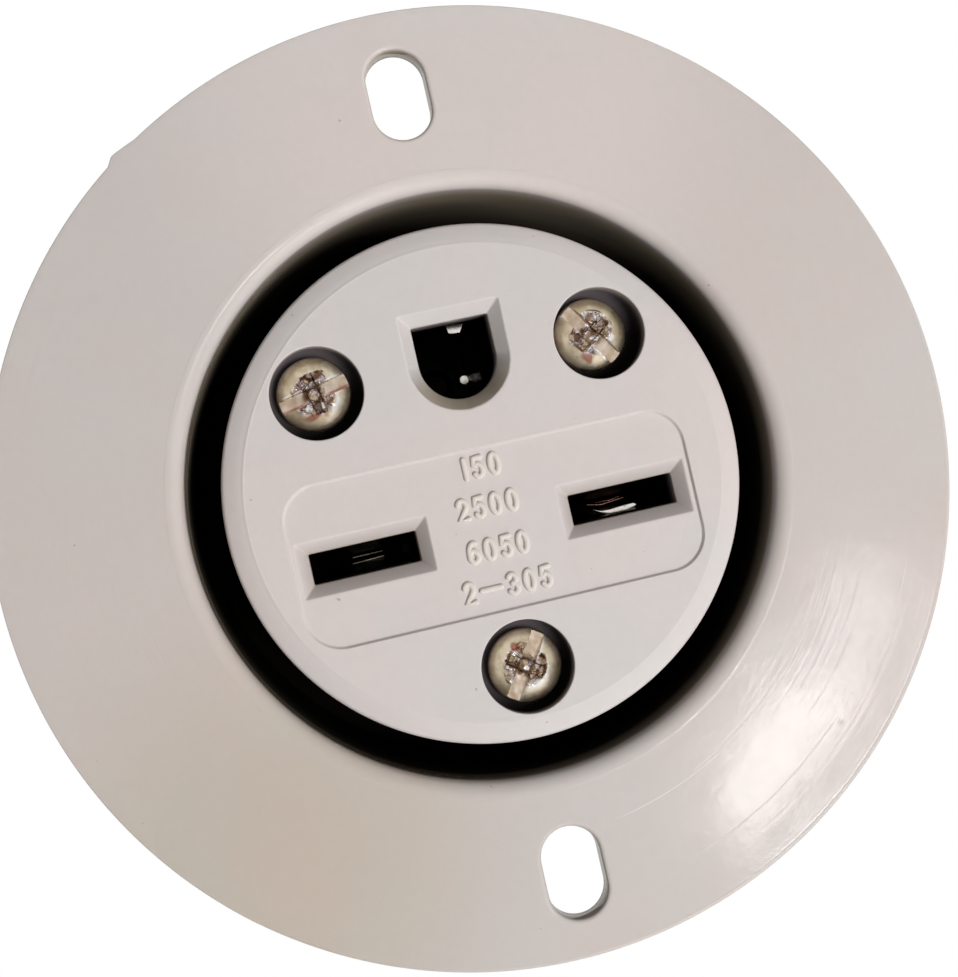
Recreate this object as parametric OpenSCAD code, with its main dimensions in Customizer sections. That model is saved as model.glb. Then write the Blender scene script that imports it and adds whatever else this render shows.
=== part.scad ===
// Flanged receptacle: a round panel outlet for two flat blades in line and a ground pin.
// Inside the modules x is to the right, y is up, z leaves the front, and z = 0 is the panel.
// as_fixed() turns all of it upright, so that the front looks along -Y with the ground pin on top.

/* [Flange] */
// Thickness of the flange
flange_t = 2; // [1.6:0.1:3.6]
// Rounding of the flange's front edge
rim_round = 0.4; // [0.2:0.05:1.4]
// Width of the flange between a mounting slot and the barrel
slot_margin = 1.55; // [1:0.05:4]
// Width of the flange between a mounting slot and the rim
rim_margin = 2.65; // [2:0.05:6]
// Width of a mounting slot
slot_w = 4.1; // [3.2:0.1:5]
// Length of a mounting slot from end to end
slot_len = 6.3; // [5.4:0.1:9]
// Height of the moulding gate's stub on the rim
gate_h = 0.38; // [0.2:0.02:0.8]
// Width of the moulding gate's stub
gate_w = 1.7; // [1:0.1:3]
// Place of the gate stub round the rim, in degrees from the right
gate_angle = 123.6; // [100:0.1:170]

/* [Well] */
// Width of the well between the face and the wall at its mouth
trench_w = 2.45; // [1.8:0.05:4]
// Depth of the well below the flange's front
well_depth = 16; // [14.5:0.1:20]
// Rounding of the well's mouth
mouth_round = 1.1; // [0.5:0.1:1.5]
// Draft of the well's wall, in degrees
well_draft = 1; // [0:0.1:1.4]
// Wall between the well and the outside of the barrel
barrel_wall = 2.2; // [1.9:0.1:4]
// Thickness of the well's floor
floor_t = 2.4; // [1.8:0.1:3.5]
// Length of the skirt that takes the contact carrier
skirt_len = 4; // [2:0.1:4.4]
// Thickness of the skirt
skirt_wall = 1.8; // [1.2:0.1:2]

/* [Face] */
// Wall round the screw holes and the contact chambers
tower_wall = 1.05; // [0.8:0.05:2]
// Rounding of the face's rim
face_round = 1.5; // [0.6:0.1:1.8]
// Draft of the face's side, in degrees
face_draft = 0.7; // [0:0.1:1]
// Width of the shoulder that rests on the well's floor
shoulder_w = 2.3; // [1.8:0.1:3]
// Wall behind the front of the face
face_wall = 3.2; // [2.6:0.1:4]
// Width of the sunk field round the blade openings
field_w = 28.15; // [27.4:0.05:28.6]
// Height of the sunk field
field_h = 11.25; // [10.6:0.05:11.6]
// Height of the sunk field's middle above the axis
field_y = -3.3; // [-3.5:0.05:-3.1]
// Corner radius of the sunk field
field_corner = 2.6; // [1.5:0.1:3.5]
// Depth of the sunk field
field_depth = 0.25; // [0.1:0.05:0.5]

/* [Openings] */
// Distance between the middles of the two blade openings
blade_spacing = 18.26; // [17.6:0.02:18.8]
// Height of the blade openings above the axis
blade_y = -3.3; // [-3.6:0.05:-3]
// Width of a blade opening
blade_w = 7.43; // [6.8:0.01:7.6]
// Height of a blade opening
blade_h = 2.1; // [1.8:0.05:2.4]
// Width of the bevel round a blade opening
blade_bevel = 0.82; // [0.4:0.02:0.9]
// Depth of the bevels
bevel_depth = 1; // [0.5:0.05:1.4]
// Width of the ground opening
ground_w = 5.43; // [5:0.01:5.8]
// Height of the middle of the ground opening's round end above the axis
ground_y = 8.6; // [8.2:0.05:9]
// Distance from there to the ground opening's flat top
ground_top = 2.74; // [2.4:0.02:3]
// Width of the bevel round the ground opening
ground_bevel = 0.83; // [0.4:0.01:1]

/* [Assembly screws] */
// Radius of the circle that the three screws stand on
pitch_r = 12.95; // [12.8:0.05:14]
// Angle of the two upper screws above the horizontal
upper_angle = 39.8; // [38:0.1:41]
// Diameter of the screws
bolt_d = 2.9; // [2.4:0.1:3]
// Diameter of the heads
bolt_head_d = 5.1; // [4.6:0.1:5.6]
// Height of the heads
bolt_head_h = 1.35; // [1:0.05:1.6]
// Diameter of the counterbores
sink_d = 6.4; // [6:0.1:6.8]
// Depth of the counterbores
sink_depth = 1.9; // [1.7:0.05:2.2]
// Width of the driver slots
drive_w = 0.9; // [0.6:0.05:1.2]
// Length of the cross recess in the heads
drive_cross = 2.8; // [2:0.1:3.4]
// Turn of the left, right and bottom screws' slots, in degrees
drive_turns = [12.5, -55, 56.5];
// Width across the flats of the nuts
nut_flats = 6.35; // [5.5:0.05:7]
// Thickness of the nuts
nut_t = 2.4; // [1.6:0.1:2.6]

/* [Contacts] */
// Thickness of the line contact strip
line_strip = 0.5; // [0.3:0.05:0.7]
// Width of the line contact strip
line_w = 6.5; // [5:0.1:7.2]
// Free gap between the line contact's two leaves where they grip
line_grip = 0.6; // [0.4:0.05:1.4]
// Distance of a line contact's leaves from its middle, at its base
line_spread = 2.1; // [1.9:0.05:2.6]
// Thickness of the ground contact strip
ground_strip = 0.6; // [0.3:0.05:0.7]
// Width of the ground contact strip
ground_contact_w = 5; // [4:0.1:6]
// Free gap between the ground contact's two leaves where they grip
ground_grip = 4.3; // [3.6:0.05:4.6]
// Distance of the ground contact's leaves from its middle, at its base
ground_spread = 3; // [2.8:0.05:3.6]
// Length of a leaf that stays straight above its base
leaf_straight = 5; // [3:0.1:6]
// Length of a leaf's tip in front of its grip
leaf_tip = 2.6; // [1.8:0.1:3.4]
// Clearance between the leaves and the wall of their chamber
leaf_gap = 0.6; // [0.4:0.05:0.9]
// Depth of the line contact's base behind the carrier's front
line_drop = 1; // [0.6:0.05:1.6]
// Depth of the ground contact's base behind the carrier's front
ground_drop = 3.1; // [2.4:0.05:3.6]

/* [Terminals] */
// Depth of the terminal plates below the barrel's outside
plate_depth = 6.05; // [5.6:0.05:6.3]
// Thickness of a terminal plate
plate_t = 1; // [0.8:0.05:1.3]
// Width of a terminal plate
plate_w = 8.8; // [8:0.1:9.2]
// Thickness of a wire clamp
clamp_t = 1.5; // [1.2:0.05:1.8]
// Height of a wire clamp
clamp_h = 7.4; // [6:0.1:8]
// Gap for the wire between a clamp and its plate
wire_gap = 2.5; // [2.1:0.05:2.7]
// Diameter of a terminal screw
term_d = 3.5; // [3:0.1:3.8]
// Diameter of a terminal screw's head
term_head_d = 6.8; // [6:0.1:7.4]
// Height of a terminal screw's head
term_head_h = 2.2; // [1.6:0.1:2.6]
// Length of the cross recess in a terminal screw's head
term_cross = 3.2; // [2.4:0.1:4]
// Depth of the terminal screws behind the carrier's front
term_drop = 9.2; // [8.8:0.05:9.6]

/* [Rear] */
// Length of the contact carrier
carrier_len = 15.6; // [14.8:0.1:18]
// Step from the barrel in to the carrier and the cover behind it
carrier_step = 0.3; // [0.2:0.05:0.8]
// Thickness of the rear cover
cover_t = 4; // [3.4:0.1:5]
// Chamfer of the rear cover's edge
cover_chamfer = 0.9; // [0.3:0.1:1.2]
// Diameter of a wire hole
wire_d = 2.8; // [2.4:0.05:3]
// Clearance between pieces that fit together
fit_gap = 0.15; // [0.1:0.01:0.2]

/* [Hidden] */
$fn = 96;
arc_steps = 8;
cut = 0.5;

// Levels along the axis, from the front to the back
face_z = flange_t;
sink_z = face_z - sink_depth;
chamber_z = face_z - face_wall;
floor_z = flange_t - well_depth;
seat_z = floor_z - floor_t;
line_z = seat_z - line_drop;
ground_z = seat_z - ground_drop;
term_z = seat_z - term_drop;
carrier_z = seat_z - carrier_len;
cover_z = carrier_z - cover_t;

// Chambers for the contacts
line_chamber_u = line_w + 2.5 * leaf_gap;
line_chamber_v = 2 * line_spread + line_strip + 2 * leaf_gap;
ground_chamber_u = ground_contact_w + 4 * leaf_gap;
ground_chamber_v = 2 * ground_spread + ground_strip + 2 * leaf_gap;

// Radii and half widths, from the inside to the outside
blade_x = blade_spacing / 2;
ground_r = ground_w / 2;
bolt_reach = pitch_r + bolt_d / 2 + fit_gap;
chamber_reach = norm([blade_x + line_chamber_u / 2, abs(blade_y) + line_chamber_v / 2]);
spigot_r = max(bolt_reach, chamber_reach) + tower_wall;
hole_r = spigot_r + fit_gap;
face_r = spigot_r + shoulder_w;
well_r = face_r + trench_w;
barrel_r = well_r + barrel_wall;
skirt_r = barrel_r - skirt_wall;
carrier_r = barrel_r - carrier_step;
slot_r = barrel_r + slot_margin + slot_len / 2;
flange_r = slot_r + slot_len / 2 + rim_margin;

// Keys that stop the pieces from turning
key_w = 3;
key_h = 0.8;

// Rivets between the contacts and the terminal plates
rivet_r = 0.9;
rivet_head_r = 1.5;
rivet_head_h = 0.55;
bend = 0.35;

// Terminal bays in the carrier
plate_u = barrel_r - plate_depth;
plate_in_u = plate_u - plate_t;
clamp_out_u = plate_in_u - wire_gap;
clamp_in_u = clamp_out_u - clamp_t;
clamp_room = 0.7;
bay_in_u = clamp_in_u - clamp_room;
bay_w = plate_w + 2 * fit_gap;
window_h = term_head_d + 2;
plate_tail = 0.8;
plate_end_z = term_z - clamp_h / 2 - plate_tail;
foot_tail = 3.3;

// Holes for the wires, and the seats of the nuts
wire_side_gap = 0.05;
wire_lead = 0.6;
wire_v = term_d / 2 + wire_d / 2 + wire_side_gap;
nut_inset = 0.2;
nut_r = nut_flats / sqrt(3);

function unit(v) = v / norm(v);
function side(v) = [-v[1], v[0]];
function arc(c, r, from, to) =
    [for (i = [0 : arc_steps]) let (a = from + (to - from) * i / arc_steps) c + r * [cos(a), sin(a)]];
function joint_side(p, i) =
    i == 0 ? side(unit(p[1] - p[0])) :
    i == len(p) - 1 ? side(unit(p[i] - p[i - 1])) :
    let (a = side(unit(p[i] - p[i - 1])), b = side(unit(p[i + 1] - p[i])), m = unit(a + b)) m / (m * a);
// Outline of a bent strip of thickness t whose middle line is p
function strip_outline(p, t) = concat(
    [for (i = [0 : len(p) - 1]) p[i] + joint_side(p, i) * t / 2],
    [for (i = [len(p) - 1 : -1 : 0]) p[i] - joint_side(p, i) * t / 2]);

// Turns bench axes into those of the panel: the front looks along -Y and up is +Z
module as_fixed() {
    rotate([90, 0, 0])
        children();
}

// A tube or plug from z = low to z = high
module post(r, low, high) {
    translate([0, 0, low])
        cylinder(h = high - low, r = r);
}

// A box given by its two corners
module block(low, high) {
    translate(low)
        cube(high - low);
}

// Places a child on a terminal's own axes: u outwards, v along the panel, z as before
module at_station(name) {
    if (name == "right")
        translate([0, blade_y, 0]) children();
    else if (name == "left")
        translate([0, blade_y, 0]) rotate([0, 0, 180]) children();
    else
        rotate([0, 0, 90]) children();
}

// Place of one assembly screw
module at_bolt(name) {
    angle = name == "right" ? upper_angle : name == "left" ? 180 - upper_angle : 270;
    translate([pitch_r * cos(angle), pitch_r * sin(angle), 0])
        children();
}

// Opening with bevelled sides: a rectangle of w by h at z = low that widens by the bevel to z = high
module funnel(w, h, bevel, low, high) {
    over = bevel * cut / (high - low);
    intersection() {
        translate([0, h, 0])
            rotate([90, 0, 0])
                linear_extrude(height = 2 * h)
                    polygon([[-w / 2, low], [w / 2, low], [w / 2 + bevel + over, high + cut],
                             [-w / 2 - bevel - over, high + cut]]);
        translate([-w, 0, 0])
            rotate([90, 0, 90])
                linear_extrude(height = 2 * w)
                    polygon([[-h / 2, low], [h / 2, low], [h / 2 + bevel + over, high + cut],
                             [-h / 2 - bevel - over, high + cut]]);
    }
}

// Straight slot with round ends, long along y
module round_slot(w, len, low, high) {
    for (s = [-1, 1])
        translate([0, s * (len - w) / 2, 0])
            post(w / 2, low, high);
    block([-w / 2, -(len - w) / 2, low], [w / 2, (len - w) / 2, high]);
}

// One moulding: flange, well with its floor, and the skirt behind
module flange_housing() {
    wall_low_r = well_r - (well_depth - mouth_round) * tan(well_draft);
    as_fixed()
        color([0.77, 0.75, 0.74])
            difference() {
                union() {
                    rotate_extrude()
                        polygon(concat(
                            [[hole_r, seat_z], [hole_r, floor_z], [wall_low_r, floor_z]],
                            arc([well_r + mouth_round, flange_t - mouth_round], mouth_round, 180, 90),
                            arc([flange_r - rim_round, flange_t - rim_round], rim_round, 90, 0),
                            [[flange_r, 0], [barrel_r, 0], [barrel_r, seat_z - skirt_len],
                             [skirt_r, seat_z - skirt_len], [skirt_r, seat_z]]));
                    rotate([0, 0, gate_angle])
                        block([flange_r - 1, -gate_w / 2, 0],
                              [flange_r + gate_h, gate_w / 2, flange_t - rim_round]);
                    block([-key_w / 2, -skirt_r - cut, seat_z - skirt_len],
                          [key_w / 2, -skirt_r + key_h, seat_z + cut]);
                    block([-key_w / 2, hole_r - key_h, seat_z],
                          [key_w / 2, hole_r + cut, floor_z]);
                }
                for (s = [-1, 1])
                    translate([0, s * slot_r, 0])
                        round_slot(slot_w, slot_len, -cut, flange_t + cut);
            }
}

// The face and the tower that stands in the well, moulded in one with its contact chambers
module face_insert() {
    foot_r = face_r + (face_z - floor_z - face_round) * tan(face_draft);
    as_fixed()
        color([0.80, 0.79, 0.78])
            difference() {
                rotate_extrude()
                    polygon(concat(
                        [[0, seat_z], [spigot_r, seat_z], [spigot_r, floor_z], [foot_r, floor_z]],
                        arc([face_r - face_round, face_z - face_round], face_round, 0, 90),
                        [[0, face_z]]));
                sunk_field();
                for (s = [-1, 1])
                    translate([s * blade_x, blade_y, 0]) {
                        funnel(blade_w, blade_h, blade_bevel, face_z - field_depth - bevel_depth,
                               face_z - field_depth);
                        block([-blade_w / 2, -blade_h / 2, chamber_z - cut],
                              [blade_w / 2, blade_h / 2, face_z - field_depth - bevel_depth + cut]);
                        block([-line_chamber_u / 2, -line_chamber_v / 2, seat_z - cut],
                              [line_chamber_u / 2, line_chamber_v / 2, chamber_z]);
                    }
                ground_opening();
                for (name = ["left", "right", "bottom"])
                    at_bolt(name) {
                        post(sink_d / 2, sink_z, face_z + cut);
                        post(bolt_d / 2 + fit_gap, seat_z - cut, sink_z + cut);
                    }
                block([-key_w / 2 - fit_gap, spigot_r - key_h - fit_gap, seat_z - cut],
                      [key_w / 2 + fit_gap, spigot_r + cut, floor_z]);
            }
}

// Shallow rounded field round the blade openings
module sunk_field() {
    inner_w = field_w / 2 - field_corner;
    inner_h = field_h / 2 - field_corner;
    low = face_z - field_depth;
    high = face_z + cut;
    translate([0, field_y, 0]) {
        for (sx = [-1, 1])
            for (sy = [-1, 1])
                translate([sx * inner_w, sy * inner_h, 0])
                    post(field_corner, low, high);
        block([-field_w / 2, -inner_h, low], [field_w / 2, inner_h, high]);
        block([-inner_w, -field_h / 2, low], [inner_w, field_h / 2, high]);
    }
}

// Ground opening: round below, flat on top, with a bevel and the chamber behind it
module ground_opening() {
    low = face_z - bevel_depth;
    over = ground_bevel * cut / bevel_depth;
    translate([0, ground_y, 0]) {
        translate([0, 0, low])
            cylinder(h = bevel_depth + cut, r1 = ground_r, r2 = ground_r + ground_bevel + over);
        translate([0, ground_top - ground_r, 0])
            intersection() {
                funnel(ground_w, ground_w, ground_bevel, low, face_z);
                block([-flange_r, ground_r - ground_top, low], [flange_r, flange_r, face_z + cut]);
            }
        post(ground_r, chamber_z - cut, low + cut);
        block([-ground_r, 0, chamber_z - cut], [ground_r, ground_top, low + cut]);
        block([-ground_chamber_v / 2, -ground_chamber_u / 2, seat_z - cut],
              [ground_chamber_v / 2, ground_chamber_u / 2, chamber_z]);
    }
}

// Body behind the well: bays for the three terminals, with a window to each screw
module contact_carrier() {
    as_fixed()
        color([0.17, 0.17, 0.18])
            difference() {
                rotate_extrude()
                    polygon([[0, carrier_z], [carrier_r, carrier_z], [carrier_r, seat_z - skirt_len],
                             [skirt_r - fit_gap, seat_z - skirt_len], [skirt_r - fit_gap, seat_z], [0, seat_z]]);
                at_station("left")
                    terminal_bay(blade_x, line_z);
                at_station("right")
                    terminal_bay(blade_x, line_z);
                at_station("ground")
                    terminal_bay(ground_y, ground_z);
                for (name = ["left", "right", "bottom"])
                    at_bolt(name)
                        post(bolt_d / 2 + fit_gap, carrier_z - cut, seat_z + cut);
                block([-key_w / 2 - fit_gap, -skirt_r - cut, seat_z - skirt_len],
                      [key_w / 2 + fit_gap, -skirt_r + key_h + fit_gap, seat_z + cut]);
            }
}

// Room for one contact's foot, its terminal plate, its clamp and its screw
module terminal_bay(contact_u, base_z) {
    foot_z = base_z - contact_strip(base_z) - plate_t;
    block([contact_u - foot_tail - fit_gap, -bay_w / 2, foot_z], [plate_u, bay_w / 2, seat_z + cut]);
    block([bay_in_u, -bay_w / 2, carrier_z - cut], [plate_u, bay_w / 2, seat_z + cut]);
    block([plate_u - cut, -bay_w / 2, term_z - window_h / 2], [barrel_r + cut, bay_w / 2, term_z + window_h / 2]);
    translate([contact_u, 0, 0])
        post(rivet_head_r + 2 * fit_gap, foot_z - rivet_head_h - fit_gap, foot_z + cut);
}

function contact_strip(base_z) = base_z == line_z ? line_strip : ground_strip;

// Cover with the wire holes, held by the nuts that lie in it
module rear_cover() {
    as_fixed()
        color([0.17, 0.17, 0.18])
            difference() {
                rotate_extrude()
                    polygon([[0, carrier_z], [carrier_r, carrier_z], [carrier_r, cover_z + cover_chamfer],
                             [carrier_r - cover_chamfer, cover_z], [0, cover_z]]);
                for (name = ["left", "right", "ground"])
                    at_station(name)
                        for (s = [-1, 1])
                            translate([clamp_out_u + wire_gap / 2, s * wire_v, 0]) {
                                post(wire_d / 2, cover_z - cut, carrier_z + cut);
                                translate([0, 0, cover_z - cut])
                                    cylinder(h = cut + wire_lead, r1 = wire_d / 2 + wire_lead + cut, r2 = wire_d / 2);
                            }
                for (name = ["left", "right", "bottom"])
                    at_bolt(name) {
                        post(bolt_d / 2 + fit_gap, cover_z - cut, carrier_z + cut);
                        translate([0, 0, cover_z - cut])
                            cylinder(h = nut_inset + nut_t + cut, r = nut_r + fit_gap, $fn = 6);
                    }
            }
}

// Folded strip with two leaves that grip: w wide along u, its base at base_z
module spring_contact(w, strip, grip, spread, base_z) {
    middle_z = base_z - strip / 2;
    tip_z = chamber_z - 2 * leaf_gap;
    grip_z = tip_z - leaf_tip;
    grip_v = (grip + strip) / 2;
    half = [[grip_v + leaf_tip / 4, tip_z], [grip_v, grip_z + strip], [grip_v, grip_z - strip],
            [spread, base_z + leaf_straight],
            [spread, middle_z + bend], [spread - bend, middle_z]];
    line = concat([for (p = half) [-p[0], p[1]]], [for (i = [len(half) - 1 : -1 : 0]) half[i]]);
    translate([-w / 2, 0, 0])
        rotate([90, 0, 90])
            linear_extrude(height = w)
                polygon(strip_outline(line, strip));
}

module contact_at(contact_u, w, strip, grip, spread, base_z) {
    color([0.86, 0.68, 0.38])
        difference() {
            translate([contact_u, 0, 0])
                spring_contact(w, strip, grip, spread, base_z);
            translate([contact_u, 0, 0])
                post(rivet_r, base_z - strip - cut, base_z + cut);
        }
}

module line_contact(name) {
    as_fixed()
        at_station(name)
            contact_at(blade_x, line_w, line_strip, line_grip, line_spread, line_z);
}

module ground_contact() {
    as_fixed()
        at_station("ground")
            contact_at(ground_y, ground_contact_w, ground_strip, ground_grip, ground_spread, ground_z);
}

// Angle of brass: the foot under the contact and the leg that the wire is clamped to
module terminal_plate(name, contact_u, base_z) {
    foot_top = base_z - contact_strip(base_z);
    as_fixed()
        at_station(name)
            color([0.80, 0.62, 0.30])
                difference() {
                    union() {
                        block([contact_u - foot_tail, -plate_w / 2, foot_top - plate_t],
                              [plate_u, plate_w / 2, foot_top]);
                        block([plate_in_u, -plate_w / 2, plate_end_z], [plate_u, plate_w / 2, foot_top]);
                    }
                    translate([contact_u, 0, 0])
                        post(rivet_r, foot_top - plate_t - cut, foot_top + cut);
                    translate([plate_in_u - cut, 0, term_z])
                        rotate([0, 90, 0])
                            cylinder(h = plate_t + 2 * cut, r = term_d / 2 + fit_gap);
                }
}

// Rivet through the contact's base and the plate's foot, with a domed head on each side
module contact_rivet(name, contact_u, base_z) {
    low = base_z - contact_strip(base_z) - plate_t;
    as_fixed()
        at_station(name)
            translate([contact_u, 0, 0])
                color([0.72, 0.55, 0.28]) {
                    post(rivet_r, low, base_z);
                    translate([0, 0, base_z])
                        cylinder(h = rivet_head_h, r1 = rivet_head_r, r2 = rivet_head_r * 0.6);
                    translate([0, 0, low - rivet_head_h])
                        cylinder(h = rivet_head_h, r1 = rivet_head_r * 0.6, r2 = rivet_head_r);
                }
}

// Plate that the screw draws outwards onto the wire
module wire_clamp(name) {
    as_fixed()
        at_station(name)
            color([0.80, 0.62, 0.30])
                difference() {
                    block([clamp_in_u, -plate_w / 2 + fit_gap, term_z - clamp_h / 2],
                          [clamp_out_u, plate_w / 2 - fit_gap, term_z + clamp_h / 2]);
                    translate([clamp_in_u - cut, 0, term_z])
                        rotate([0, 90, 0])
                            cylinder(h = clamp_t + 2 * cut, r = term_d / 2);
                }
}

// Domed head with a slot right across and a short deeper cross in its middle, its seat at z = 0
module driver_head(d, h, slot_w, cross_l) {
    r = d / 2;
    dome_r = (r * r + h * h / 4) / h + h / 3;
    difference() {
        intersection() {
            cylinder(h = h, r = r);
            translate([0, 0, h - dome_r])
                sphere(r = dome_r);
        }
        block([-r - cut, -slot_w / 2, h * 0.5], [r + cut, slot_w / 2, h + cut]);
        for (a = [0, 90])
            rotate([0, 0, a])
                block([-cross_l / 2, -slot_w / 2, h * 0.3], [cross_l / 2, slot_w / 2, h + cut]);
    }
}

module terminal_screw(name, shade) {
    as_fixed()
        at_station(name)
            translate([plate_u, 0, term_z])
                rotate([0, 90, 0])
                    color(shade) {
                        driver_head(term_head_d, term_head_h, drive_w, term_cross);
                        post(term_d / 2, clamp_in_u - plate_u - clamp_room / 2, 0);
                    }
}

// Long screw from the face through to its nut, with the driver slot turned to an angle
module assembly_screw(name, angle) {
    as_fixed()
        at_bolt(name)
            color([0.78, 0.74, 0.62]) {
                translate([0, 0, sink_z])
                    rotate([0, 0, angle])
                        driver_head(bolt_head_d, bolt_head_h, drive_w, drive_cross);
                post(bolt_d / 2, cover_z + nut_inset / 2, sink_z);
            }
}

module assembly_nut(name) {
    as_fixed()
        at_bolt(name)
            color([0.80, 0.62, 0.30])
                difference() {
                    translate([0, 0, cover_z + nut_inset])
                        cylinder(h = nut_t, r = nut_r, $fn = 6);
                    post(bolt_d / 2, cover_z, cover_z + nut_inset + nut_t + cut);
                }
}

flange_housing();
face_insert();
contact_carrier();
rear_cover();
line_contact("left");  // line_contact_left
line_contact("right");  // line_contact_right
ground_contact();
terminal_plate("left", blade_x, line_z);  // terminal_plate_left
terminal_plate("right", blade_x, line_z);  // terminal_plate_right
terminal_plate("ground", ground_y, ground_z);  // terminal_plate_ground
contact_rivet("left", blade_x, line_z);  // contact_rivet_left
contact_rivet("right", blade_x, line_z);  // contact_rivet_right
contact_rivet("ground", ground_y, ground_z);  // contact_rivet_ground
wire_clamp("left");  // wire_clamp_left
wire_clamp("right");  // wire_clamp_right
wire_clamp("ground");  // wire_clamp_ground
terminal_screw("left", [0.85, 0.68, 0.36]);  // terminal_screw_left
terminal_screw("right", [0.85, 0.68, 0.36]);  // terminal_screw_right
terminal_screw("ground", [0.25, 0.50, 0.30]);  // terminal_screw_ground
assembly_screw("left", drive_turns[0]);  // assembly_screw_left
assembly_screw("right", drive_turns[1]);  // assembly_screw_right
assembly_screw("bottom", drive_turns[2]);  // assembly_screw_bottom
assembly_nut("left");  // assembly_nut_left
assembly_nut("right");  // assembly_nut_right
assembly_nut("bottom");  // assembly_nut_bottom
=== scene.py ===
import bmesh
import bpy
import numpy as np
from mathutils import Matrix, Vector
from mathutils.geometry import delaunay_2d_cdt


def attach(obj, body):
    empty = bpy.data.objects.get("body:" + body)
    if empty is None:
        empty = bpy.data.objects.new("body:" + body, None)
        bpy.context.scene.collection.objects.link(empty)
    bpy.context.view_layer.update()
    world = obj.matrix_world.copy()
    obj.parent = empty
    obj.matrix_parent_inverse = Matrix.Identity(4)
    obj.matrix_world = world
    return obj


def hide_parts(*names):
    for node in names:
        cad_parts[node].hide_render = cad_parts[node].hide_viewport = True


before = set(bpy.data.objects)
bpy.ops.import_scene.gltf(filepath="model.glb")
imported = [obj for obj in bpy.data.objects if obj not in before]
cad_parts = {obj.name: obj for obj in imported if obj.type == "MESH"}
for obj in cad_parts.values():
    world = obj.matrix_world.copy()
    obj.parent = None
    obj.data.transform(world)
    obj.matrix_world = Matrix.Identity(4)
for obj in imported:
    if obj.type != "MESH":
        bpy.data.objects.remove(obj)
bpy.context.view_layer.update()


# ---- Camera
# The photograph was taken almost straight at the face with the camera rolled to the right; its place was
# solved from the round outlines of the rim, the well and the face.

eye = Vector((-0.01204, -0.11052, -0.00172))
aim = Vector((0.00221, -0.002, 0.00153))
roll = np.radians(12.78)
forward = (aim - eye).normalized()
level_right = forward.cross(Vector((0, 0, 1))).normalized()
level_up = level_right.cross(forward)
up = level_up * np.cos(roll) + level_right * np.sin(roll)
right = forward.cross(up)
lens = bpy.data.cameras.new("photo_camera")
lens.sensor_fit = "VERTICAL"
lens.sensor_height = 24
lens.lens = 39.30
lens.shift_x = -0.0345
lens.shift_y = -0.0375
lens.clip_start = 0.005
camera = bpy.data.objects.new("photo_camera", lens)
camera.matrix_world = Matrix.Translation(eye) @ Matrix((right, up, -forward)).transposed().to_4x4()
bpy.context.scene.collection.objects.link(camera)
bpy.context.scene.camera = camera


# ---- Studio
# A pale floor well below the outlet, a white surround, and soft light from low on the right. Two panes of a
# window there glare on the flange. One more light, from behind and above, shows the hidden side.

def put(tree, kind, inputs=None, **settings):
    """Adds a shader node; an input is a number, a colour or another node's output."""
    node = tree.nodes.new(kind)
    for key, value in settings.items():
        setattr(node, key, value)
    for key, value in (inputs or {}).items():
        if isinstance(value, bpy.types.NodeSocket):
            tree.links.new(value, node.inputs[key])
        else:
            node.inputs[key].default_value = value
    return node


def studio_panel(name, place, long_axis, width, length, watts, colour, mirrored=True):
    """A rectangular area light that looks at the outlet, its length as near as can be to the given axis.
    One that isn't mirrored lights the surfaces but leaves no glare."""
    panel = bpy.data.lights.new(name, "AREA")
    panel.shape = "RECTANGLE"
    panel.size = width
    panel.size_y = length
    panel.energy = watts
    panel.color = colour
    back = Vector(place).normalized()
    across = Vector(long_axis).cross(back).normalized()
    lamp = bpy.data.objects.new(name, panel)
    lamp.matrix_world = (Matrix.Translation(place)
                         @ Matrix((across, back.cross(across), back)).transposed().to_4x4())
    lamp.visible_glossy = mirrored
    lamp.visible_camera = False
    bpy.context.scene.collection.objects.link(lamp)


studio_panel("left_pane", (0.141, -0.502, -0.121), (0.63, 0, 0.775), 0.028, 0.066, 0.080, (1.0, 0.98, 0.96))
studio_panel("right_pane", (0.182, -0.502, -0.086), (0.44, 0, 0.90), 0.018, 0.066, 0.036, (1.0, 0.92, 0.96))
studio_panel("low_light", (0.215, -0.43, -0.18), (0, 0, 1), 0.16, 0.22, 2.35, (1.0, 0.975, 0.965), mirrored=False)
studio_panel("back_light", (0.12, 0.52, 0.36), (1, 0, 0), 0.30, 0.30, 3.0, (1.0, 0.98, 0.96), mirrored=False)

surround = bpy.data.worlds.new("white_surround")
surround.use_nodes = True
sky = surround.node_tree
sky.nodes.clear()
rays = put(sky, "ShaderNodeLightPath")
seen = put(sky, "ShaderNodeBackground", {"Color": (1, 1, 1, 1), "Strength": 1.0})
lit = put(sky, "ShaderNodeBackground", {"Color": (1.0, 0.95, 0.88, 1), "Strength": 0.16})
mirrored = put(sky, "ShaderNodeBackground", {"Color": (1.0, 0.97, 0.93, 1), "Strength": 0.75})
pick = put(sky, "ShaderNodeMixShader", {0: rays.outputs["Is Glossy Ray"], 1: lit.outputs[0], 2: mirrored.outputs[0]})
pick = put(sky, "ShaderNodeMixShader", {0: rays.outputs["Is Camera Ray"], 1: pick.outputs[0], 2: seen.outputs[0]})
put(sky, "ShaderNodeOutputWorld", {"Surface": pick.outputs[0]})
bpy.context.scene.world = surround

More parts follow.
